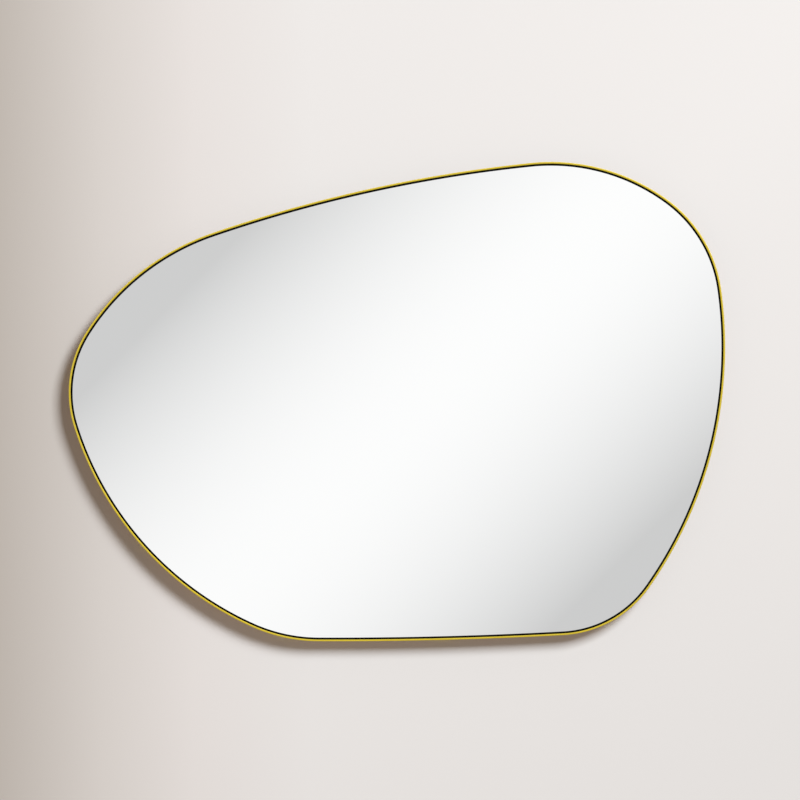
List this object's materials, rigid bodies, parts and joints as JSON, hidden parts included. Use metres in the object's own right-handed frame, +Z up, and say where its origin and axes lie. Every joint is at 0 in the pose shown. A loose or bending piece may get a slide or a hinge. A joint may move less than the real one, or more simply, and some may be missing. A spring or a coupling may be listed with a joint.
{
  "type": "wall mirror",
  "caption": "Pebble-shaped wall mirror in a slim polished gold metal strip frame, with a backing board and two folding ring hangers behind.",
  "frame": {"origin": "on the wall plane at the frame's rear edge, at the middle of the outline's width and height", "axes": "+X to the right as seen from the front along the mirror's length, +Y out of the back towards the wall, +Z up"},
  "size_m": [0.9002, 0.025, 0.6575],
  "materials": {
    "frame_metal": "polished gold-coloured strip, clear lacquer",
    "mirror_glass": "silvered float glass with ground, slightly green edges",
    "board": "fibreboard, matt black on the front and edge",
    "tape": "white closed-cell foam mounting tape",
    "screw_steel": "bright zinc plate",
    "hanger_steel": "nickel plate"
  },
  "bodies": {
    "root": {"frame_strip": "frame_metal", "mirror_glass": "mirror_glass", "backing_board": "board", "tape_strip_1": "tape", "tape_strip_2": "tape", "tape_strip_3": "tape", "tape_strip_4": "tape", "tape_strip_5": "tape", "tape_strip_6": "tape", "lug_1": "frame_metal", "lug_2": "frame_metal", "lug_3": "frame_metal", "lug_4": "frame_metal", "lug_5": "frame_metal", "lug_6": "frame_metal", "lug_7": "frame_metal", "lug_8": "frame_metal", "lug_9": "frame_metal", "lug_10": "frame_metal", "lug_screws": "screw_steel", "hanger_strap_left": "hanger_steel", "hanger_screws_left": "screw_steel", "hanger_strap_right": "hanger_steel", "hanger_screws_right": "screw_steel"},
    "ring_left": {"hanger_ring_left": "hanger_steel"},
    "ring_right": {"hanger_ring_right": "hanger_steel"}
  },
  "joints": [
    {"name": "ring_left_swing", "type": "hinge", "parent": "root", "child": "ring_left", "pos_m": [-0.199, -0.00992, 0.15], "axis": [-1, 0, 0], "range_deg": [0, 172]},
    {"name": "ring_right_swing", "type": "hinge", "parent": "root", "child": "ring_right", "pos_m": [0.251, -0.00992, 0.15], "axis": [-1, 0, 0], "range_deg": [0, 172]}
  ]
}
